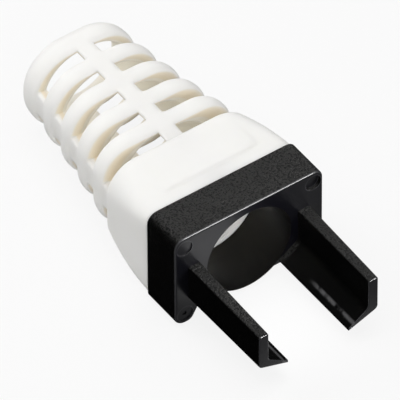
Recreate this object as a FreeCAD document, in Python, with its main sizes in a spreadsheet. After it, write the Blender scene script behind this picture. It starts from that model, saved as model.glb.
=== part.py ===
import FreeCAD, Part
import Sketcher
import math
import os

# Strain relief boot for a modular plug: a rigid clip frame with two arms that embrace the plug, and a
# soft slotted sleeve behind it that guards the cable's bend.
# Frame: origin on the bore's axis at the clip frame's front face, +Y towards the cable, the arms reach
# towards -Y, +Z up, +X to the right. Millimetres.

DIMENSIONS = [
    # clip frame: plate
    ("plate_width", 17.4),
    ("plate_depth", 4.58),
    ("top_wall", 0.92),           # plate above the bore
    ("foot_drop", 0.77),          # feet below the bore
    ("plate_corner", 1.15),
    ("foot_corner", 1.2),
    ("foot_width", 1.95),         # flat of a foot before rounding, from the plate's side inwards
    ("foot_height", 1.44),        # feet below the roof of the gap between them
    ("foot_flare", 0.8),          # how far the foot's inner side leans inwards on its way up
    ("foot_round", 0.9),
    ("notch_round", 0.3),
    ("edge_round", 0.25),
    # clip frame: bore tube
    ("bore_radius", 4.95),
    ("tube_wall", 0.5),
    ("lip_wall", 0.08),           # wall left at the front rim of the tube
    ("lip_taper", 1.3),
    ("spigot_reach", 1.42),
    ("spigot_wall", 0.3),
    # clip frame: arms
    ("arm_reach", 11.4),
    ("arm_gap", 11.5),            # between the arms at their roots
    ("arm_spread", 0.11),         # how much each inner face opens towards the tip
    ("arm_thick", 1.4),
    ("arm_tip_thick", 1.12),
    ("arm_top", 1.7),
    ("arm_top_fall", 0.22),
    ("arm_heel", 2.7),            # lower outer corner below the bore's axis
    ("arm_corner", 0.55),
    ("ledge_root", 2.15),         # where the ledge leaves the inner face
    ("ledge_slot", 7.1),          # between the two ledge tips
    ("ledge_tip", 3.62),          # top of the ledge's tip below the bore's axis
    ("ledge_thick", 0.28),
    ("ledge_fillet", 0.8),
    ("arm_end_round", 0.2),
    # clip frame: round recesses in the corners of the front face
    ("mark_radius", 0.9),
    ("mark_inset", 1.15),         # centres from the plate's sides
    ("mark_drop", 1.37),          # upper centres from the plate's top
    ("mark_rise", 1.29),          # lower centres from the feet
    ("mark_depth", 0.12),
    ("deep_mark_depth", 0.4),
    ("dimple_radius", 0.25),
    # sleeve: front body
    ("sleeve_side_step", 0.03),   # sleeve's front edge inside the plate's, at the sides
    ("sleeve_top_step", 0.27),
    ("sleeve_foot_step", 0.27),
    ("body_length", 7.72),
    ("shoulder_draw", 0.43),      # how much each side of the body draws in by the shoulder
    ("shoulder_narrow", 0.35),    # how much lower the passage is there than the bore, each side
    ("shoulder_widen", 0.65),     # how much wider than high the passage is there, each side
    ("shoulder_wall", 0.5),       # above and below that passage
    ("shoulder_lift", 0.3),       # centre of the shoulder above the bore's axis
    ("shoulder_side_flat", 3.4),
    ("shoulder_round", 0.6),
    ("panel_width", 11.3),
    ("panel_start", 1.85),        # behind the plate
    ("panel_rise", 0.28),
    ("panel_length", 4.2),
    ("panel_corner", 1.0),
    # sleeve: rings, slots, spines and collar
    ("ring_width", 2.0),
    ("slot_width", 1.4),
    ("bead_round", 0.32),
    ("ring_draw", 0.58),          # how much narrower than the plate the rings start, each side
    ("waist_draw", 0.28),         # hollow of the tail's sides halfway along
    ("collar_width", 2.6),
    ("collar_round", 1.35),
    ("tail_narrow", 0.7),         # how much lower the tail's hole is than the bore, each side
    ("tail_widen", 0.5),          # how much wider than high the hole is, each side
    ("tail_wall", 0.57),          # above and below the tail's hole
    ("tail_side_wall", 1.8),      # beyond half the hole's height at the sides
    ("tail_lift", 0.57),
    ("tail_side_flat", 0.2),
    ("passage_flat", 0.2),        # straight part of the passage's sides
    ("spine_width", 1.9),
    ("spine_proud", 0.03),        # upper and lower spines above the crests of the rings
    ("side_spine_height", 2.9),
    ("side_spine_inset", 0.5),
    ("seat_clearance", 0.05),
]
SLOT_ROWS = 5

doc = FreeCAD.newDocument("strain_relief_boot")
sheet = doc.addObject("Spreadsheet::Sheet", "dims")
for row, (alias, value) in enumerate(DIMENSIONS, start=1):
    sheet.set("A%d" % row, alias)
    sheet.set("B%d" % row, str(value))
    sheet.setAlias("B%d" % row, alias)
doc.recompute()


def expr(text):
    """Turns bare dimension names into references to the sheet."""
    for alias, _ in sorted(DIMENSIONS, key=lambda d: -len(d[0])):
        text = text.replace("<" + alias + ">", "dims." + alias)
    return text


def number(text):
    return float(sheet.evalExpression(expr(text)))


def plane(body, role):
    return next(f for f in body.Origin.OriginFeatures if f.Role == role)


def new_sketch(body, name, role, offset="0"):
    """A sketch on one of the body's own planes, moved along that plane's normal."""
    sketch = body.newObject("Sketcher::SketchObject", name)
    sketch.AttachmentSupport = [(plane(body, role), "")]
    sketch.MapMode = "FlatFace"
    sketch.setExpression(".AttachmentOffset.Base.z", expr(offset))
    return sketch


def bind(sketch, constraint, name, text):
    index = sketch.addConstraint(constraint)
    sketch.renameConstraint(index, name)
    sketch.setExpression("Constraints." + name, expr(text))


def polygon(sketch, points):
    """A closed outline whose corners are each placed by two bound distances from the origin."""
    at = [FreeCAD.Vector(number(u), number(v), 0) for u, v in points]
    count = len(at)
    for i in range(count):
        sketch.addGeometry(Part.LineSegment(at[i], at[(i + 1) % count]), False)
    for i in range(count):
        sketch.addConstraint(Sketcher.Constraint("Coincident", i, 2, (i + 1) % count, 1))
    for i, (u, v) in enumerate(points):
        place = (("X", at[i].x, u), ("Y", at[i].y, v))
        for axis, value, text in place:
            rule = Sketcher.Constraint("Distance" + axis, -1, 1, i, 1, value)
            bind(sketch, rule, "p%d%s" % (i, axis.lower()), text)


def circle(sketch, u, v, radius):
    centre = FreeCAD.Vector(number(u), number(v), 0)
    index = sketch.addGeometry(Part.Circle(centre, FreeCAD.Vector(0, 0, 1), number(radius)), False)
    tag = "c%d" % index
    if u == "0" and v == "0":
        sketch.addConstraint(Sketcher.Constraint("Coincident", index, 3, -1, 1))
    else:
        bind(sketch, Sketcher.Constraint("DistanceX", -1, 1, index, 3, centre.x), tag + "x", u)
        bind(sketch, Sketcher.Constraint("DistanceY", -1, 1, index, 3, centre.y), tag + "y", v)
    bind(sketch, Sketcher.Constraint("Radius", index, number(radius)), tag + "r", radius)


def rounded_section(sketch, half_width, top, bottom, corner):
    """A rounded rectangle, symmetric about the vertical axis."""
    a, t, b, r = (number(v) for v in (half_width, top, bottom, corner))
    vec = FreeCAD.Vector
    normal = vec(0, 0, 1)
    sides = [(vec(a, b + r, 0), vec(a, t - r, 0)), (vec(a - r, t, 0), vec(r - a, t, 0)),
             (vec(-a, t - r, 0), vec(-a, b + r, 0)), (vec(r - a, b, 0), vec(a - r, b, 0))]
    middles = [vec(a - r, t - r, 0), vec(r - a, t - r, 0), vec(r - a, b + r, 0), vec(a - r, b + r, 0)]
    for i in range(4):
        sketch.addGeometry(Part.LineSegment(*sides[i]), False)
        ring = Part.Circle(middles[i], normal, r)
        start = i * 1.5707963267948966
        sketch.addGeometry(Part.ArcOfCircle(ring, start, start + 1.5707963267948966), False)
    for i in range(4):
        line, arc, following = 2 * i, 2 * i + 1, (2 * i + 2) % 8
        sketch.addConstraint(Sketcher.Constraint("Tangent", line, 2, arc, 1))
        sketch.addConstraint(Sketcher.Constraint("Tangent", arc, 2, following, 1))
        sketch.addConstraint(Sketcher.Constraint("Vertical" if i % 2 == 0 else "Horizontal", line))
        if i:
            sketch.addConstraint(Sketcher.Constraint("Equal", 1, arc))
    bind(sketch, Sketcher.Constraint("Radius", 1, r), "corner", corner)
    bind(sketch, Sketcher.Constraint("DistanceX", -1, 1, 0, 1, a), "right", half_width)
    bind(sketch, Sketcher.Constraint("DistanceX", 4, 1, -1, 1, a), "left", half_width)
    bind(sketch, Sketcher.Constraint("DistanceY", -1, 1, 2, 1, t), "top", top)
    bind(sketch, Sketcher.Constraint("DistanceY", -1, 1, 6, 1, b), "bottom", bottom)


def loft(body, kind, name, sketches, ruled):
    feature = body.newObject("PartDesign::" + kind, name)
    feature.Profile = sketches[0]
    feature.Sections = sketches[1:]
    feature.Ruled = ruled
    doc.recompute()
    return feature


def pad(body, name, sketch, length, reverse=False, both=False):
    feature = body.newObject("PartDesign::Pad", name)
    feature.Profile = sketch
    feature.Reversed = reverse
    feature.Midplane = both
    feature.setExpression("Length", expr(length))
    doc.recompute()
    return feature


def pocket(body, name, sketch, depth, reverse=False):
    """Cuts, and stops the build if nothing was taken away."""
    before = body.Shape.Volume
    feature = body.newObject("PartDesign::Pocket", name)
    feature.Profile = sketch
    feature.Reversed = reverse
    feature.setExpression("Length", expr(depth))
    doc.recompute()
    if body.Shape.Volume > before - 1e-4:
        raise RuntimeError(name + " cuts nothing")
    return feature


def fillet(body, name, radius, wanted):
    """Rounds the edges of the body's present tip that the test picks out."""
    base = body.Tip
    names = ["Edge%d" % (i + 1) for i, edge in enumerate(base.Shape.Edges) if wanted(edge)]
    if not names:
        raise RuntimeError(name + " finds no edge")
    feature = body.newObject("PartDesign::Fillet", name)
    feature.Base = (base, names)
    feature.setExpression("Radius", expr(radius))
    doc.recompute()
    return feature


def near(value, target, slack=0.02):
    return abs(value - target) < slack


def along(edge, axis, slack=0.03):
    """True for a straight edge that runs close to the given axis."""
    ends = [v.Point for v in edge.Vertexes]
    if len(ends) != 2 or edge.Length > (ends[1] - ends[0]).Length + 1e-4:
        return False
    run = (ends[1] - ends[0]).normalize()
    return abs(abs(run.dot(axis)) - 1.0) < slack


Y_AXIS = FreeCAD.Vector(0, 1, 0)

# ---------------------------------------------------------------- clip frame
clip = doc.addObject("PartDesign::Body", "clip_frame_body")
clip.Label = "clip_frame"

# plate: rounded shoulders above, two feet below with a gap between them
side = "<plate_width> / 2"
above = "(<bore_radius> + <top_wall>)"
below = "(<bore_radius> + <foot_drop>)"
notch = "(<bore_radius> + <foot_drop> - <foot_height>)"
foot_inner = "<plate_width> / 2 - <foot_width>"
foot_root = foot_inner + " - <foot_flare>"
outline = new_sketch(clip, "plate_outline", "XZ_Plane")
polygon(outline, [
    (side, above), (side, "-" + below), (foot_inner, "-" + below),
    (foot_root, "-" + notch), ("-(" + foot_root + ")", "-" + notch),
    ("-(" + foot_inner + ")", "-" + below), ("-(" + side + ")", "-" + below),
    ("-(" + side + ")", above)])
pad(clip, "plate", outline, "<plate_depth>", reverse=True)


def corner_at(u_text, v_text):
    u, v = number(u_text), number(v_text)
    return lambda edge: (along(edge, Y_AXIS) and near(abs(edge.CenterOfMass.x), u)
                         and near(edge.CenterOfMass.z, v))


fillet(clip, "plate_corners", "<plate_corner>", corner_at(side, above))
fillet(clip, "foot_corners", "<foot_corner>", corner_at(side, "-" + below))
fillet(clip, "foot_insides", "<foot_round>", corner_at(foot_inner, "-" + below))
fillet(clip, "notch_corners", "<notch_round>", corner_at(foot_root, "-" + notch))
front_loop = lambda edge: all(near(v.Point.y, 0) for v in edge.Vertexes)
fillet(clip, "front_edge", "<edge_round>", front_loop)

# tube round the bore: a thin conical lip in front, a spigot behind that enters the sleeve
tube_out = "<bore_radius> + <tube_wall>"
spigot_out = "<bore_radius> + <spigot_wall>"
spigot_end = "<plate_depth> + <spigot_reach>"
wall = new_sketch(clip, "tube_section", "YZ_Plane")
polygon(wall, [
    ("0", "0"), ("0", "<bore_radius> + <lip_wall>"), ("<lip_taper>", tube_out),
    ("<plate_depth>", tube_out), ("<plate_depth>", spigot_out), (spigot_end, spigot_out),
    (spigot_end, "0")])
tube = clip.newObject("PartDesign::Revolution", "bore_tube")
tube.Profile = wall
tube.ReferenceAxis = (wall, ["H_Axis"])
tube.Angle = 360
doc.recompute()

# arms: the outline at the root and at the tip, lofted, then mirrored
inner = "<arm_gap> / 2"
tip_inner = "<arm_gap> / 2 + <arm_spread>"


def arm_points(inner_face, thick, top):
    outer_face = inner_face + " + " + thick
    return [(inner_face, top), (outer_face, top), (outer_face, "-<arm_heel>"),
            ("<ledge_slot> / 2", "-(<ledge_tip> + <ledge_thick>)"),
            ("<ledge_slot> / 2", "-<ledge_tip>"), (inner_face, "-<ledge_root>")]


arm_root = new_sketch(clip, "arm_root", "XZ_Plane")
polygon(arm_root, arm_points(inner, "<arm_thick>", "<arm_top>"))
arm_tip = new_sketch(clip, "arm_tip", "XZ_Plane", "<arm_reach>")
polygon(arm_tip, arm_points(tip_inner, "<arm_tip_thick>", "<arm_top> - <arm_top_fall>"))
arm = loft(clip, "AdditiveLoft", "arm", [arm_root, arm_tip], True)
mirror = clip.newObject("PartDesign::Mirrored", "other_arm")
mirror.Originals = [arm]
mirror.MirrorPlane = (plane(clip, "YZ_Plane"), [""])
clip.Tip = mirror
doc.recompute()

arm_middle = -number("<arm_reach>") / 2


def arm_edge(u_text, v_text):
    u, v = number(u_text), number(v_text)
    return lambda edge: (along(edge, Y_AXIS) and near(edge.CenterOfMass.y, arm_middle, 0.1)
                         and near(abs(edge.CenterOfMass.x), u, 0.3) and near(edge.CenterOfMass.z, v, 0.15))


fillet(clip, "arm_heels", "<arm_corner>", arm_edge(inner + " + <arm_thick>", "-<arm_heel>"))
fillet(clip, "ledge_hollows", "<ledge_fillet>", arm_edge(inner, "-<ledge_root>"))
fillet(clip, "arm_outer_tops", "<arm_end_round>", arm_edge(inner + " + <arm_thick>", "<arm_top>"))
fillet(clip, "arm_inner_tops", "<arm_end_round>", arm_edge(inner, "<arm_top>"))
end_loop = lambda edge: all(near(v.Point.y, -number("<arm_reach>")) for v in edge.Vertexes)
fillet(clip, "arm_ends", "min(<arm_end_round>; 0.4 * <ledge_thick>)", end_loop)

bore = new_sketch(clip, "bore_circle", "XZ_Plane")
circle(bore, "0", "0", "<bore_radius>")
pocket(clip, "bore", bore, spigot_end + " + 1")

mark_u = "(<plate_width> / 2 - <mark_inset>)"
mark_top = above + " - <mark_drop>"
mark_low = "<mark_rise> - " + below
marks = new_sketch(clip, "mark_circles", "XZ_Plane")
circle(marks, "-" + mark_u, mark_top, "<mark_radius>")
circle(marks, "-" + mark_u, mark_low, "<mark_radius>")
circle(marks, mark_u, mark_low, "<mark_radius>")
pocket(clip, "marks", marks, "<mark_depth>")
deep_mark = new_sketch(clip, "deep_mark_circle", "XZ_Plane")
circle(deep_mark, mark_u, mark_top, "<mark_radius>")
pocket(clip, "deep_mark", deep_mark, "<deep_mark_depth>")
dimples = new_sketch(clip, "dimple_circles", "XZ_Plane", "-<mark_depth>")
for way in ("-", ""):
    circle(dimples, way + mark_u, mark_low, "<dimple_radius>")
pocket(clip, "dimples", dimples, "<mark_depth>")

# ---------------------------------------------------------------- boot sleeve
sleeve = doc.addObject("PartDesign::Body", "boot_sleeve_body")
sleeve.Label = "boot_sleeve"

SHOULDER = "(<plate_depth> + <body_length>)"
RINGS = SLOT_ROWS - 1
WAIST_HALF = "(<bore_radius> - <shoulder_narrow>)"    # half the passage's height at the shoulder
HOLE_HALF = "(<bore_radius> - <tail_narrow>)"         # and at the tail's end
TAIL_RUN = "(%d * <slot_width> + %d * <ring_width> + <collar_width>)" % (SLOT_ROWS, RINGS)


def share(run):
    """How far along the tail a distance behind the shoulder is, from 0 to 1."""
    return "((%s) / %s)" % (run, TAIL_RUN)


def taper(front, tail, run):
    """A size that changes evenly from the shoulder to the tail's end."""
    return "(%s + (%s - (%s)) * %s)" % (front, tail, front, share(run))


def lift_at(run):
    return taper("<shoulder_lift>", "<tail_lift>", run)


def passage_at(run):
    return taper(WAIST_HALF, HOLE_HALF, run)


def half_height_at(run):
    return passage_at(run) + " + " + taper("<shoulder_wall>", "<tail_wall>", run)


def half_width_at(run, draw="<ring_draw>"):
    straight = taper("<plate_width> / 2 - " + draw, HOLE_HALF + " + <tail_side_wall>", run)
    return "(%s - 4 * <waist_draw> * %s * (1 - %s))" % (straight, share(run), share(run))


def tail_section(name, run, inset="0 * <bead_round>", draw="<ring_draw>"):
    """Outer section at a distance behind the shoulder, drawn in by an inset."""
    sketch = new_sketch(sleeve, name, "XZ_Plane", "-(%s + %s)" % (SHOULDER, run))
    half_height = half_height_at(run)
    flat = taper("<shoulder_side_flat>", "<tail_side_flat>", run)
    rounded_section(sketch, half_width_at(run, draw) + " - " + inset,
                    lift_at(run) + " + " + half_height + " - " + inset,
                    lift_at(run) + " - (" + half_height + ") + " + inset,
                    half_height + " - " + flat + " / 2 - " + inset)
    return sketch


# front body: as square as the plate in front, rounder at the shoulder, with a rounded rear edge
front = new_sketch(sleeve, "body_front", "XZ_Plane", "-<plate_depth>")
sleeve_top = above + " - <sleeve_top_step>"
rounded_section(front, side + " - <sleeve_side_step>", sleeve_top, "<sleeve_foot_step> - " + below,
                "<plate_corner>")
body_back = tail_section("body_back", "-<shoulder_round>", draw="<shoulder_draw>")
loft(sleeve, "AdditiveLoft", "body", [front, body_back], True)
SHOULDER_STEPS = ((1.0, 0.0), (0.5, 0.134), (0.134, 0.5), (0.0, 1.0))
edge = [tail_section("shoulder_%d" % i, "-%g * <shoulder_round>" % back, "%g * <shoulder_round>" % drop,
                     "<shoulder_draw>") for i, (back, drop) in enumerate(SHOULDER_STEPS)]
loft(sleeve, "AdditiveLoft", "shoulder", edge, False)

# raised panel on top of the front body, running out towards the shoulder
panel_sketch = new_sketch(sleeve, "panel_side", "YZ_Plane")
panel_front = "<plate_depth> + <panel_start>"
panel_back = panel_front + " + <panel_length>"
polygon(panel_sketch, [
    (panel_front, sleeve_top + " - 0.5"), (panel_front, sleeve_top + " + <panel_rise>"),
    (panel_back, sleeve_top + " - 0.1"), (panel_back, sleeve_top + " - 0.5")])
pad(sleeve, "panel", panel_sketch, "<panel_width>", both=True)
panel_y = number(panel_front)
panel_corners = lambda edge: (near(edge.CenterOfMass.y, panel_y) and near(abs(edge.CenterOfMass.x),
                              number("<panel_width> / 2")) and edge.Length < 1)
fillet(sleeve, "panel_corners", "<panel_corner>", panel_corners)

# spines: two flush bars above and below, two lower bars at the sides, over the whole tail
BAR = "1.6"


def bar(name, u_near, u_far, v_near, v_far):
    """A straight bar between the shoulder and the collar, given by its four sides at both ends."""
    ends = []
    for tag, run in (("front", "-0.5 * <body_length>"), ("back", TAIL_RUN + " - <collar_width> / 2")):
        sketch = new_sketch(sleeve, name + "_" + tag, "XZ_Plane", "-(%s + %s)" % (SHOULDER, run))
        u0, u1, v0, v1 = u_near(run), u_far(run), v_near(run), v_far(run)
        polygon(sketch, [(u0, v0), (u1, v0), (u1, v1), (u0, v1)])
        ends.append(sketch)
    loft(sleeve, "AdditiveLoft", name, ends, True)


def top_at(run):
    return lift_at(run) + " + " + half_height_at(run) + " + <spine_proud>"


def bottom_at(run):
    return lift_at(run) + " - (" + half_height_at(run) + ") - <spine_proud>"


def side_at(run):
    return taper("<plate_width> / 2 - <ring_draw>", HOLE_HALF + " + <tail_side_wall>", run) \
        + " - <side_spine_inset>"


half_spine = "<spine_width> / 2"
bar("top_spine", lambda r: "-" + half_spine, lambda r: half_spine, top_at,
    lambda r: top_at(r) + " - " + BAR)
bar("bottom_spine", lambda r: "-" + half_spine, lambda r: half_spine, bottom_at,
    lambda r: bottom_at(r) + " + " + BAR)
for tag, way in (("right", ""), ("left", "-")):
    bar(tag + "_spine", lambda r: way + "(" + side_at(r) + ")",
        lambda r: way + "(" + passage_at(r) + ")",
        lambda r: lift_at(r) + " + <side_spine_height> / 2",
        lambda r: lift_at(r) + " - <side_spine_height> / 2")

# rings: beads with rounded crests; the collar's rear edge has a larger round
BEAD = ((0.0, 1.0), (0.18, 0.28), (0.5, 0.0), (0.82, 0.28), (1.0, 1.0))
for i in range(RINGS):
    start = "%d * <slot_width> + %d * <ring_width>" % (i + 1, i)
    stations = [tail_section("bead_%d_%d" % (i, j), "(%s + %g * <ring_width>)" % (start, share_),
                             "%g * <bead_round>" % drop)
                for j, (share_, drop) in enumerate(BEAD)]
    loft(sleeve, "AdditiveLoft", "ring_%d" % (i + 1), stations, False)
LIP_ANGLES = (0, 22, 40, 54)
lip_end = math.sin(math.radians(LIP_ANGLES[-1]))
stations = [tail_section("collar_%d" % j, "(%s - <collar_width> + %g * <ring_width>)" % (TAIL_RUN, share_),
                         "%g * <bead_round>" % drop) for j, (share_, drop) in enumerate(BEAD[:3])]
for j, angle in enumerate(LIP_ANGLES):
    back = lip_end - math.sin(math.radians(angle))
    drop = 1 - math.cos(math.radians(angle))
    stations.append(tail_section("lip_%d" % j, "(%s - %.4f * <collar_round>)" % (TAIL_RUN, back),
                                 "%.4f * <collar_round>" % drop))
loft(sleeve, "AdditiveLoft", "collar", stations, False)

# seat for the frame's spigot, then the oval passage that narrows and rises towards the tail
seat = new_sketch(sleeve, "seat_circle", "XZ_Plane", "-<plate_depth>")
circle(seat, "0", "0", "<bore_radius> + <spigot_wall> + <seat_clearance>")
pocket(sleeve, "seat", seat, "<spigot_reach>")
COLLAR = "(%s - <collar_width>)" % TAIL_RUN


def passage_sketch(name, place, height, radius, widen):
    sketch = new_sketch(sleeve, name, "XZ_Plane", "-(%s)" % place)
    rounded_section(sketch, radius + " + " + widen, height + " + " + radius, height + " - (" + radius + ")",
                    radius + " - <passage_flat> / 2")
    return sketch


hole_widen = taper("<shoulder_widen>", "<tail_widen>", COLLAR)
passage_front = passage_sketch("passage_front", spigot_end, "0 * <tail_lift>", "<bore_radius>",
                               "0 * <tail_widen>")
passage_waist = passage_sketch("passage_waist", SHOULDER, "<shoulder_lift>", WAIST_HALF,
                               "<shoulder_widen>")
passage_tail = passage_sketch("passage_tail", SHOULDER + " + " + COLLAR, "<tail_lift>",
                              passage_at(COLLAR), hole_widen)
before = sleeve.Shape.Volume
loft(sleeve, "SubtractiveLoft", "passage", [passage_front, passage_waist, passage_tail], True)
if sleeve.Shape.Volume > before - 100:
    raise RuntimeError("the passage cuts nothing")
tail_hole = passage_sketch("tail_hole_outline", SHOULDER + " + " + COLLAR, "<tail_lift>",
                           HOLE_HALF, "<tail_widen>")
pocket(sleeve, "tail_hole", tail_hole, "<collar_width>")

# ---------------------------------------------------------------- checks and export
doc.recompute()
for item in doc.Objects:
    if "Invalid" in item.State or "Error" in item.State:
        raise RuntimeError("failed object: " + item.Name)
os.makedirs("parts", exist_ok=True)
for body in (clip, sleeve):
    shape = body.Shape
    if shape.isNull() or not shape.isValid() or len(shape.Solids) != 1:
        raise RuntimeError("bad shape: " + body.Label)
    shape.exportStep("parts/" + body.Label + ".step")
    box = shape.BoundBox
    print(body.Label, "volume %.2f" % shape.Volume, "box %.2f %.2f %.2f .. %.2f %.2f %.2f" % (
        box.XMin, box.YMin, box.ZMin, box.XMax, box.YMax, box.ZMax))
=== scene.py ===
import math

import bmesh
import bpy
from mathutils import Matrix, Vector


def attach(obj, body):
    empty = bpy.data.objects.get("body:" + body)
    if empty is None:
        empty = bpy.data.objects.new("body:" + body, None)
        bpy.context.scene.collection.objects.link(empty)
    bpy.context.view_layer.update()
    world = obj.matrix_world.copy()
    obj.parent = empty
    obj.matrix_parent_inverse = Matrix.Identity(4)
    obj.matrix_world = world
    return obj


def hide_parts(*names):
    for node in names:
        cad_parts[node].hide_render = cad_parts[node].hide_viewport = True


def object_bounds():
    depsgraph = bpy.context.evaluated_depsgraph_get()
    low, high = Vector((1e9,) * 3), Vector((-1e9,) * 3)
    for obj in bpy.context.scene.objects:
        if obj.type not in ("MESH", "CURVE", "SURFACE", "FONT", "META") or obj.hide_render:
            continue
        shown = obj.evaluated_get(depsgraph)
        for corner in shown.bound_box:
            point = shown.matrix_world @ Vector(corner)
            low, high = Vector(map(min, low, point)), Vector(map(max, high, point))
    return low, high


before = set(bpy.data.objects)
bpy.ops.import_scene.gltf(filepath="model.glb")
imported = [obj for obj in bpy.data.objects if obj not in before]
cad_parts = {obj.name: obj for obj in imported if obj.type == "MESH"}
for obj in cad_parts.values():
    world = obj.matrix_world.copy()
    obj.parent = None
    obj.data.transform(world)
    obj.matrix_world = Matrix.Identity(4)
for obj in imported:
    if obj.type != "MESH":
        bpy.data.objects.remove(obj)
cad_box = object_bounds()
MM = 0.001

# ---------------------------------------------------------------------------
# Bench: a plain white table top under soft studio lamps, and a long lens that looks down at the
# boot from the front and a little from the left.
# ---------------------------------------------------------------------------
LENS, STAND_OFF, ASIDE, RAISED = 1062.7, 1131, -4.692, 4.682
turn, rise, roll = math.radians(-35.1455), math.radians(45.7615), math.radians(-0.3282)
back = Vector((math.cos(rise) * math.sin(turn), -math.cos(rise) * math.cos(turn), math.sin(rise)))
right = Vector((math.cos(turn), math.sin(turn), 0))
up = back.cross(right)
lens = bpy.data.cameras.new("long_lens")
lens.lens, lens.sensor_width = LENS, 36
lens.clip_start = 0.05
camera = bpy.data.objects.new("long_lens", lens)
bpy.context.collection.objects.link(camera)
facing = Matrix((right, up, back)).transposed().to_4x4()
camera.matrix_world = (Matrix.Translation((back * STAND_OFF + right * ASIDE + up * RAISED) * MM)
                       @ facing @ Matrix.Rotation(roll, 4, "Z"))
bpy.context.scene.camera = camera
bpy.context.scene.view_settings.view_transform = "Standard"


class Link:
    """A socket in a finish; arithmetic with it adds the Math nodes."""

    def __init__(self, finish, socket):
        self.finish, self.socket = finish, socket

    def __add__(self, other):
        return self.finish.math("ADD", self, other)

    def __sub__(self, other):
        return self.finish.math("SUBTRACT", self, other)

    def __rsub__(self, other):
        return self.finish.math("SUBTRACT", other, self)

    def __mul__(self, other):
        return self.finish.math("MULTIPLY", self, other)

    __radd__, __rmul__ = __add__, __mul__


class Finish:
    """The nodes of a material or of the world, added one call at a time."""

    def __init__(self, owner):
        owner.use_nodes = True
        self.owner, self.tree = owner, owner.node_tree
        self.tree.nodes.clear()

    def node(self, kind, settings, inputs, out=0):
        made = self.tree.nodes.new("ShaderNode" + kind)
        for key, value in settings.items():
            setattr(made, key, value)
        for key, value in inputs.items():
            if isinstance(value, Link):
                self.tree.links.new(value.socket, made.inputs[key])
            else:
                made.inputs[key].default_value = value
        return Link(self, made.outputs[out])

    def math(self, operation, a, b=0.0):
        return self.node("Math", {"operation": operation}, {0: a, 1: b})

    def mix(self, factor, a, b):
        """Colour a turns into colour b as the factor goes from 0 to 1."""
        return self.node("Mix", {"data_type": "RGBA"}, {0: factor, 6: a, 7: b}, 2)

    def step(self, value, low, high):
        """0 below low, 1 above high, smooth between."""
        return self.node("MapRange", {"interpolation_type": "SMOOTHSTEP"},
                         {"Value": value, "From Min": low, "From Max": high})

    def band(self, value, low, full, past, high):
        """0 below low, 1 from full to past, 0 again above high."""
        return self.step(value, low, full) * (1 - self.step(value, past, high))

    def axis(self, vector, letter):
        return self.node("SeparateXYZ", {}, {0: vector}, "XYZ".index(letter))

    def surface(self, shader):
        kind = "World" if isinstance(self.owner, bpy.types.World) else "Material"
        out = self.tree.nodes.new("ShaderNodeOutput" + kind)
        self.tree.links.new(shader.socket, out.inputs["Surface"])


def light(name, stand, size, power, aim=(0, 10, 0), gloss_only=False, glossless=False, depth=None):
    """A flat lamp aimed at a point, in mm and watts. One that is gloss_only shows in reflections and
    lights nothing; a glossless one lights surfaces and shows in no reflection."""
    lamp = bpy.data.lights.new(name, "AREA")
    lamp.shape = "RECTANGLE"
    lamp.size, lamp.size_y, lamp.energy = size * MM, (depth or size) * MM, power
    made = bpy.data.objects.new(name, lamp)
    bpy.context.collection.objects.link(made)
    made.location = Vector(stand) * MM
    made.visible_diffuse = made.visible_camera = not gloss_only
    if glossless:
        made.visible_glossy = made.visible_camera = False
    made.rotation_euler = (Vector(aim) * MM - made.location).to_track_quat("-Z", "Y").to_euler()


light("overhead_softbox", (0, -10, 260), 170, 0.22)
light("front_softbox", (-95, -215, 185), 120, 0.13)
light("mouth_fill", (-2, -9, 4.5), 4, 0.001, aim=(0, 7, -5), glossless=True)
light("tail_fill", (-16, 150, 58), 60, 0.033, aim=(0, 15, -3), glossless=True)
light("back_softbox", (-130, 230, 190), 120, 0.19, glossless=True)
light("edge_lamp", (100, -200, 112), 20, 1.0, gloss_only=True)
light("front_card", (5, -12.5, -12), 15, 0.0005, aim=(5, -12.5, 10), gloss_only=True, depth=9)

table_top = bmesh.new()
bmesh.ops.create_grid(table_top, x_segments=1, y_segments=1, size=3.0)
bmesh.ops.translate(table_top, verts=table_top.verts, vec=(0, 0, cad_box[0][2]))
table_mesh = bpy.data.meshes.new("table_top")
table_top.to_mesh(table_mesh)
table_top.free()
table = bpy.data.objects.new("table_top", table_mesh)
bpy.context.collection.objects.link(table)
table.visible_glossy = table.visible_shadow = False

# The laminate glows white for the camera, keeps a little of the lamps' light so that the boot's shadow
# shows on it, and is clear from below.
GLOW = 0.86
laminate = Finish(bpy.data.materials.new("white_laminate"))
seen = laminate.node("LightPath", {}, {}, "Is Camera Ray")
plain = laminate.node("BsdfDiffuse", {}, {"Color": (0.72, 0.72, 0.72, 1)})
glow = laminate.node("Emission", {}, {"Color": (1, 1, 1, 1), "Strength": 1.0})
top_side = laminate.node("MixShader", {}, {0: seen * GLOW, 1: plain, 2: glow})
underside = laminate.node("NewGeometry", {}, {}, "Backfacing")
clear = laminate.node("BsdfTransparent", {}, {})
laminate.surface(laminate.node("MixShader", {}, {0: underside, 1: top_side, 2: clear}))
table_mesh.materials.append(laminate.owner)

# The room round the table: white to the camera, grey as a light. What the plastic mirrors of it is
# bright above and to the right, dark at the left, with a pale card low in front.
bpy.context.scene.world = bpy.data.worlds.new("studio")
studio = Finish(bpy.context.scene.world)
look = studio.node("TexCoord", {}, {}, "Generated")
above = studio.step(studio.axis(look, "Z"), -0.1, 0.5)
card = studio.step(studio.axis(look, "X") * 0.5 - studio.axis(look, "Y") * 0.85, 0.2, 0.8)
to_right = studio.step(studio.axis(look, "X"), 0.0, 0.8)
fill = above * 0.47 + 0.02
mirrored = above * (to_right * 0.72 + 0.01) + card * (1 - above) * 0.25
straight = studio.node("LightPath", {}, {}, "Is Camera Ray")
bounced = studio.node("LightPath", {}, {}, "Is Glossy Ray")
level = fill + (mirrored - fill) * bounced
studio.surface(studio.node("Background", {}, {
    "Color": (1, 1, 1, 1), "Strength": level + (1 - level) * straight}))

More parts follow.
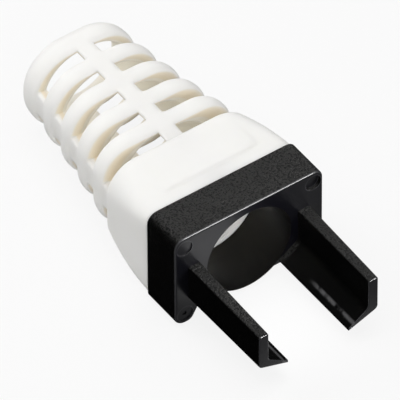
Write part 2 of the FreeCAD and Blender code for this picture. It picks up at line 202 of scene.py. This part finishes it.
# ---------------------------------------------------------------------------
# Clip frame: one rigid moulding of black plastic, a plate round the cable's bore with two arms that
# grip the plug and a ledge along each. The mould leaves a fine grain outside and a smooth front with
# a round mark in each corner. The sleeve is pushed over the spigot at its back.
# ---------------------------------------------------------------------------
BORE, ARM_INSIDE = 4.95, 5.8
MARK_ASIDE, MARK_RISE, MARK_MIDDLE, MARK_RADIUS = 7.55, 4.46, 0.04, 0.9
GRAIN, SCUFF = 4800.0, 420.0                 # how fine the two patterns are
GRAIN_DEPTH = 0.06

black = Finish(bpy.data.materials.new("clip_black"))
spot = black.node("TexCoord", {}, {}, "Object")
outward = black.node("NewGeometry", {}, {}, "Normal")
along, upright = black.axis(spot, "Y"), black.axis(spot, "Z")
sideways = black.math("ABSOLUTE", black.axis(spot, "X"))
from_axis = black.node("VectorMath", {"operation": "LENGTH"}, {
    0: black.node("VectorMath", {"operation": "MULTIPLY"}, {0: spot, 1: (1, 0, 1)})}, "Value")

# Where the surface lies: the smooth front, the rounded rim next to it, the tops, the bore and the
# arms' inner sides.
facing_front = 0 - black.axis(outward, "Y")
smooth_front = black.step(facing_front, 0.8, 0.97)
rim = black.band(facing_front, 0.2, 0.5, 0.8, 0.97)
upward = black.step(black.axis(outward, "Z"), 0.6, 0.95)
outside_bore = black.step(from_axis, (BORE + 0.02) * MM, (BORE + 0.08) * MM)
on_arms = 1 - black.step(along, -0.8 * MM, -0.4 * MM)
inner_side = (1 - black.step(sideways, ARM_INSIDE * MM, (ARM_INSIDE + 0.1) * MM)) * on_arms
eroded = (1 - smooth_front) * outside_bore * (1 - inner_side) * (1 - on_arms * 0.45)

# The grain of the eroded mould is strongest on the tops. Faint scuffs lie on all but the bore.
pits = black.node("TexNoise", {}, {"Vector": spot, "Scale": GRAIN, "Detail": 2.5, "Roughness": 0.55})
scuffs = black.node("TexNoise", {}, {"Vector": spot, "Scale": SCUFF, "Detail": 4.0, "Roughness": 0.6})
pebble = black.step(pits, 0.41, 0.56)
height = pebble * eroded * (1 - rim) * (upward * 0.55 + 0.45) + scuffs * outside_bore * 0.06
bump = black.node("Bump", {}, {"Strength": 1.0, "Distance": GRAIN_DEPTH * MM, "Height": height})
tone = black.mix(pebble * eroded, (0.0008, 0.0008, 0.0008, 1), (0.003, 0.0028, 0.0026, 1))
# Partly painted light: the grain's pebbles are made much lighter on upward faces, standing in for the light
# from above.
tone = black.mix(pebble * eroded * upward, tone, (0.028, 0.0275, 0.026, 1))
tone = black.mix(smooth_front, tone, (0.003, 0.003, 0.005, 1))

# Painted highlights: a pale strip along each ledge, a pale ring round each round mark, and a lighter rim
# along the rounded edge next to the front.
strip = black.band(sideways, 3.9 * MM, 4.1 * MM, 4.2 * MM, 4.4 * MM) * inner_side
ledge_glint = strip * black.step(scuffs, 0.36, 0.5) * (1 - black.step(along, -6 * MM, -4 * MM))
tone = black.mix(ledge_glint, tone, (0.06, 0.06, 0.062, 1))
# Painted highlight: a pale ring round each round mark, where the light catches its edge.
across_mark = black.math("ABSOLUTE", sideways - MARK_ASIDE * MM)
from_middle = black.math("ABSOLUTE", upright - MARK_MIDDLE * MM)
along_mark = black.math("ABSOLUTE", from_middle - MARK_RISE * MM)
from_mark = black.math("SQRT", across_mark * across_mark + along_mark * along_mark)
mark_rim_glint = black.band(from_mark, (MARK_RADIUS - 0.1) * MM, (MARK_RADIUS - 0.02) * MM,
                  (MARK_RADIUS + 0.02) * MM, (MARK_RADIUS + 0.1) * MM) * smooth_front
tone = black.mix(mark_rim_glint, tone, (0.04, 0.04, 0.045, 1))
# Painted highlight: the rounded rim next to the front is made lighter.
tone = black.mix(rim * 0.8, tone, (0.05, 0.05, 0.055, 1))
gloss = 0.3 + (1 - outside_bore) * 0.12 + eroded * 0.16 - rim * 0.12 + (scuffs - 0.5) * outside_bore * 0.1
black.surface(black.node("BsdfPrincipled", {}, {
    "Base Color": tone, "Roughness": gloss, "Specular IOR Level": 0.4, "Normal": bump}))
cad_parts["clip_frame"].data.materials.clear()
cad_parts["clip_frame"].data.materials.append(black.owner)

# ---------------------------------------------------------------------------
# Boot sleeve: one moulding of soft white elastomer, pushed over the spigot behind the frame. Its
# square front body turns into a tail of rings, held by a spine above, below and at each side, so
# that the tail bends with the cable. Every edge is soft, as it leaves the mould.
# ---------------------------------------------------------------------------
PLATE_BACK, SEAT_DEPTH, SEAT_RADIUS, BEHIND_SEAT = 4.58, 1.42, 5.30, 9.0
SEAT_BACK = PLATE_BACK + SEAT_DEPTH
SHOULDER, ROUND = 12.30, 0.60
ROWS, SLOT, RING, COLLAR = 5, 1.40, 2.00, 2.60
TAIL = ROWS * SLOT + (ROWS - 1) * RING + COLLAR
END = SHOULDER + TAIL
SPINE, SIDE_SPINE, CREST, THIN = 0.95, 1.45, 0.4, 0.17
LIP_ROUND, LIP_TURN = 1.35, 0.95

# A size is half width, half height, corner and centre: of the passage at the bore, the shoulder and
# the tail's end, and of the body's front.
WAY_FRONT, WAY_SHOULDER, WAY_END = (BORE, BORE, BORE, 0.0), (5.25, 4.6, 4.5, 0.3), (4.75, 4.25, 4.15, 0.57)
BODY_FRONT = 8.67, 5.525, 1.15, 0.075
BODY_WIDE, TAIL_WIDE, END_WIDE, WAIST = 8.27, 8.12, 6.05, 0.28
TAIL_HIGH, END_HIGH, TAIL_FLAT, END_FLAT = 5.1, 4.82, 1.7, 0.1

PANEL, PANEL_FRONT, PANEL_LENGTH, PANEL_RISE = 5.65, PLATE_BACK + 1.85, 4.2, 0.28
PANEL_CORNER, PANEL_EDGE = 1.0, 0.3

ARC, BY_PANEL, HUG = 20, 9, 0.16             # faces from spine to spine, those above the panel's side
QUARTER = ARC + 4
COLUMNS = 4 * QUARTER
BODY_ROWS = (5.3, 5.9, 6.25, 6.4, 6.55, 7.0, 7.6, 8.2, 8.8, 9.4, 10.0, 10.5, 11.0, 11.4)
OUTER, SLOT_MOUTH, LINING = 0.0, 0.3, 1.0    # how deep a point lies, which the finish reads


def blend(near, far, part):
    return near + (far - near) * part


def blend_sizes(near, far, part):
    return tuple(blend(here, there, part) for here, there in zip(near, far))


def waist(part):
    """How far the tail's sides draw in between the shoulder and the end."""
    return 4 * WAIST * part * (1 - part)


def hollow(y):
    """The passage's size at a place along the boot."""
    if y < SHOULDER:
        return blend_sizes(WAY_FRONT, WAY_SHOULDER, max(0.0, (y - SEAT_BACK) / (SHOULDER - SEAT_BACK)))
    return blend_sizes(WAY_SHOULDER, WAY_END, min(1.0, (y - SHOULDER) / TAIL))


def outside(y):
    """The outer surface's size at a place along the boot."""
    part = (y - SHOULDER) / TAIL
    high, centre = blend(TAIL_HIGH, END_HIGH, part), blend(WAY_SHOULDER[3], WAY_END[3], part)
    corner = high - blend(TAIL_FLAT, END_FLAT, part)
    if y > SHOULDER:
        return blend(TAIL_WIDE, END_WIDE, part) - waist(part), high, corner, centre
    body = max(0.0, min(1.0, (y - PLATE_BACK) / (SHOULDER - ROUND - PLATE_BACK)))
    return blend_sizes(BODY_FRONT, (blend(BODY_WIDE, END_WIDE, part), high, corner, centre), body)


def on_outline(size, column, hug=0.0):
    """The point of a rounded outline that a column meets. Columns keep to the spines' edges, and
    two of them hug the side of the raised panel where hug is 1."""
    wide, high, corner, centre = size
    quarter, step = divmod(column, QUARTER)
    if quarter % 2:
        step = QUARTER - step
    flat, drop = wide - corner, high - corner
    whole = flat + corner * math.pi / 2 + drop

    def run_to_x(x):
        return x if x <= flat else flat + corner * math.asin((x - flat) / corner)

    def run_to_z(z):
        return whole - z if z <= drop else flat + corner * math.acos((z - drop) / corner)

    first, last = run_to_x(SPINE), run_to_z(SIDE_SPINE)
    if step <= 2:
        run = first * (0.0, 0.6, 1.0)[step]
    elif step >= QUARTER - 2:
        run = blend(last, whole, (0.0, 0.5, 1.0)[step - QUARTER + 2])
    else:
        run = blend(first, last, (step - 2) / ARC)
        if step <= BY_PANEL + 2:
            near_panel = blend(first, PANEL - HUG, (step - 2) / BY_PANEL)
        else:
            near_panel = blend(PANEL + HUG, last, (step - BY_PANEL - 3) / (ARC - BY_PANEL - 1))
        run = blend(run, near_panel, hug)
    if run <= flat:
        x, z = run, high
    elif run <= flat + corner * math.pi / 2:
        turned = (run - flat) / corner
        x, z = flat + corner * math.sin(turned), drop + corner * math.cos(turned)
    else:
        x, z = wide, whole - run
    return (x if quarter in (0, 1) else -x), centre + (z if quarter in (0, 3) else -z)


def spine_share(column):
    """1 over the upper and lower spines, a half at their edges, 0 elsewhere."""
    step = min(column % (2 * QUARTER), 2 * QUARTER - column % (2 * QUARTER))
    return (1.0, 1.0, 0.5)[step] if step <= 2 else 0.0


def side_share(column):
    """1 over a side spine."""
    return 1.0 if abs(column % (2 * QUARTER) - QUARTER) <= 2 else 0.0


# The stations of the outer surface from the plate to the tail: place, and how far the surface is
# drawn in there. A slot starts behind each station that slots names.
stations = [(PLATE_BACK, 0.06), (PLATE_BACK + 0.12, 0.0)] + [(y, 0.0) for y in BODY_ROWS]
stations += [(SHOULDER - ROUND * (1 - math.sin(bend)), ROUND * (1 - math.cos(bend)))
             for bend in (0.0, 0.4, 0.75, 1.05, 1.3, math.pi / 2)]
slots, crest_round = [], ((0.0, 1.0), (0.07, 0.49), (0.2, 0.2), (0.35, 0.05), (0.5, 0.0))
ring_front = SHOULDER
for row in range(ROWS):
    slots.append(len(stations) - 1)
    ring_front += SLOT
    stations += [(ring_front + share * RING, CREST * drop) for share, drop in crest_round]
    if row < ROWS - 1:
        stations += [(ring_front + (1 - share) * RING, CREST * drop) for share, drop in crest_round[-2::-1]]
        ring_front += RING
lip = len(stations)
stations += [(END - LIP_ROUND * (math.sin(LIP_TURN) - math.sin(bend)), LIP_ROUND * (1 - math.cos(bend)))
             for bend in (0.0, 0.25, 0.5, 0.73, LIP_TURN)]


def panel_rise(x, y):
    """The raised panel on top of the body: highest at its front edge, flush at its back."""
    if not PANEL_FRONT - PANEL_EDGE < y < PANEL_FRONT + PANEL_LENGTH:
        return 0.0
    across, along = abs(x) - PANEL + PANEL_CORNER, PANEL_FRONT + PANEL_CORNER - y
    away = math.hypot(max(across, 0), max(along, 0)) + min(max(across, along), 0) - PANEL_CORNER
    edge = max(0.0, min(1.0, 0.5 - away / PANEL_EDGE))
    return PANEL_RISE * (1 - (y - PANEL_FRONT) / PANEL_LENGTH) * edge * edge * (3 - 2 * edge)


def press_outside(ring, number):
    """Gives a loop of the outer surface its shape at a station."""
    y, drop = stations[number]
    wide, high, bend, centre = outside(y)
    share = (y - SHOULDER) / TAIL
    at_slot = number in slots or number - 1 in slots
    for corner in ring:
        deep = drop * (1 - spine_share(corner[column])) if slots[0] < number < lip else drop
        if at_slot and number > slots[0] and side_share(corner[column]):
            deep = max(deep, 0.5 - waist(share))
        low = min(deep, high - hollow(y)[1] - THIN)
        size = wide - deep, high - low, max(bend - deep, 0.1), centre
        x, z = on_outline(size, corner[column], max(0.0, min(1.0, BODY_ROWS[-1] - y)))
        if z > 0 and number < slots[0]:
            z += panel_rise(x, y)
        corner.co = Vector((x, y, z)) * MM
        held = spine_share(corner[column]) + side_share(corner[column])
        corner[depth] = SLOT_MOUTH if at_slot and not held else OUTER


def press_inside(ring, y, size):
    """Gives a loop of the passage its shape."""
    for corner in ring:
        x, z = on_outline(size, corner[column])
        corner.co = Vector((x, y, z)) * MM
        corner[depth] = LINING


def next_loop(edges):
    """Draws a closed loop of edges on by one more loop."""
    grown = bmesh.ops.extrude_edge_only(shell, edges=edges)["geom"]
    ring = [item for item in grown if isinstance(item, bmesh.types.BMVert)]
    fresh = set(ring)
    return ring, [item for item in grown if isinstance(item, bmesh.types.BMEdge)
                  and item.verts[0] in fresh and item.verts[1] in fresh]


# One closed skin, drawn on loop by loop: outside from the plate to the tail, over the lip, back
# through the passage to the seat, and joined to its start.
shell = bmesh.new()
column = shell.verts.layers.int.new("column")
depth = shell.verts.layers.float.new("depth")
crease = shell.edges.layers.float.new("crease_edge")
ring = bmesh.ops.create_circle(shell, segments=COLUMNS, radius=1)["verts"]
for number, corner in enumerate(ring):
    corner[column] = number
front_rim = edges = list(shell.edges)
press_outside(ring, 0)
outer_loops = [ring]
for number in range(1, len(stations)):
    ring, edges = next_loop(edges)
    press_outside(ring, number)
    outer_loops.append(ring)
hole = hollow(END)
ring, edges = next_loop(edges)
press_inside(ring, END, (hole[0] + 0.1, hole[1] + 0.1, hole[2] + 0.1, hole[3]))
ring, edges = next_loop(edges)
press_inside(ring, END - 0.12, hole)
slot_places = [stations[number][0] for number in slots]
inner_loops = {}
for front in reversed(slot_places):
    for y in (front + SLOT, front):
        ring, edges = next_loop(edges)
        press_inside(ring, y, hollow(y))
        inner_loops[y] = ring
throat, seat_size = (BORE + 0.05, BORE + 0.05, BORE, 0), (SEAT_RADIUS, SEAT_RADIUS, SEAT_RADIUS, 0)
for y, size in ((BEHIND_SEAT, hollow(BEHIND_SEAT)), (SEAT_BACK + 0.05, hollow(SEAT_BACK)),
                (SEAT_BACK, throat), (SEAT_BACK, seat_size), (PLATE_BACK, seat_size)):
    ring, edges = next_loop(edges)
    press_inside(ring, y, size)
bmesh.ops.bridge_loops(shell, edges=front_rim + edges)


def window(front_loop, back_loop, quarter):
    """The faces between two loops from one spine to the next, and the edges round them."""
    first, last = quarter * QUARTER + 2, (quarter + 1) * QUARTER - 2
    inside = {corner for corner in front_loop + back_loop if first <= corner[column] <= last}
    faces = {face for corner in inside for face in corner.link_faces if set(face.verts) <= inside}
    rim = {edge for face in faces for edge in face.edges
           if sum(other in faces for other in edge.link_faces) == 1}
    return list(faces), list(rim)


# Each slot is four windows between the spines: the skin's outside and lining are opened there, and
# the wall between them is closed round the window.
rims = []
for number, front in zip(slots, slot_places):
    for quarter in range(4):
        outer_faces, outer_rim = window(outer_loops[number], outer_loops[number + 1], quarter)
        inner_faces, inner_rim = window(inner_loops[front], inner_loops[front + SLOT], quarter)
        bmesh.ops.delete(shell, geom=outer_faces + inner_faces, context="FACES")
        walls = bmesh.ops.bridge_loops(shell, edges=outer_rim + inner_rim)["edges"]
        ends = [edge for edge in walls if edge.verts[0][column] % QUARTER in (2, QUARTER - 2)
                and edge.verts[1][column] % QUARTER in (2, QUARTER - 2)]
        rims += inner_rim + ends
        for edge in outer_rim:
            edge[crease] = 0.6
bmesh.ops.recalc_face_normals(shell, faces=shell.faces)
bmesh.ops.bevel(shell, geom=rims, offset=0.08 * MM, offset_type="OFFSET", segments=2, profile=0.5,
                affect="EDGES", material=-1, clamp_overlap=True)
sleeve_mesh = bpy.data.meshes.new("boot_sleeve_soft")
shell.to_mesh(sleeve_mesh)
shell.free()
for face in sleeve_mesh.polygons:
    face.use_smooth = True
sleeve = bpy.data.objects.new("boot_sleeve_soft", sleeve_mesh)
bpy.context.collection.objects.link(sleeve)
softness = sleeve.modifiers.new("softness", "SUBSURF")
softness.levels = softness.render_levels = 1

# Satin white with faint clouds and a fine grain. The slots' walls are painted a warm tan as shade, and so
# is the lining from the shoulder back.
CLOUD, SATIN, SATIN_DEPTH = 260.0, 5200.0, 0.02
white = Finish(bpy.data.materials.new("sleeve_white"))
spot = white.node("TexCoord", {}, {}, "Object")
cloud = white.node("TexNoise", {}, {"Vector": spot, "Scale": CLOUD, "Detail": 3.0})
tone = white.mix(cloud, (0.93, 0.915, 0.88, 1), (0.95, 0.94, 0.915, 1))
crevice = white.node("Attribute", {"attribute_name": "depth"}, {}, "Fac")
wall = white.step(crevice, 0.15, 0.45) - white.step(crevice, 0.75, 1.0)
# Painted shade: the slots' walls are made a warm tan according to how deep each point lies.
tone = white.mix(wall * 0.75, tone, (0.92, 0.82, 0.65, 1))
in_tail = white.step(white.axis(spot, "Y"), 9 * MM, 14 * MM)
# Painted shade: the lining in the tail is made tan because it lies in shade inside the tail.
lining = white.mix(in_tail, (0.98, 0.977, 0.968, 1), (0.97, 0.915, 0.81, 1))
tone = white.mix(white.step(crevice, 0.8, 1.0), tone, lining)
grain = white.node("TexNoise", {}, {"Vector": spot, "Scale": SATIN, "Detail": 2.0})
bump = white.node("Bump", {}, {"Strength": 0.12, "Distance": SATIN_DEPTH * MM, "Height": grain})
white.surface(white.node("BsdfPrincipled", {}, {
    "Base Color": tone, "Roughness": 0.48 + cloud * 0.08, "Specular IOR Level": 0.25, "Normal": bump,
    "Subsurface Weight": 0.5, "Subsurface Radius": (0.0011, 0.0011, 0.00105), "Subsurface Scale": 1.0}))
sleeve_mesh.materials.append(white.owner)
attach(sleeve, "root")
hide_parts("boot_sleeve")
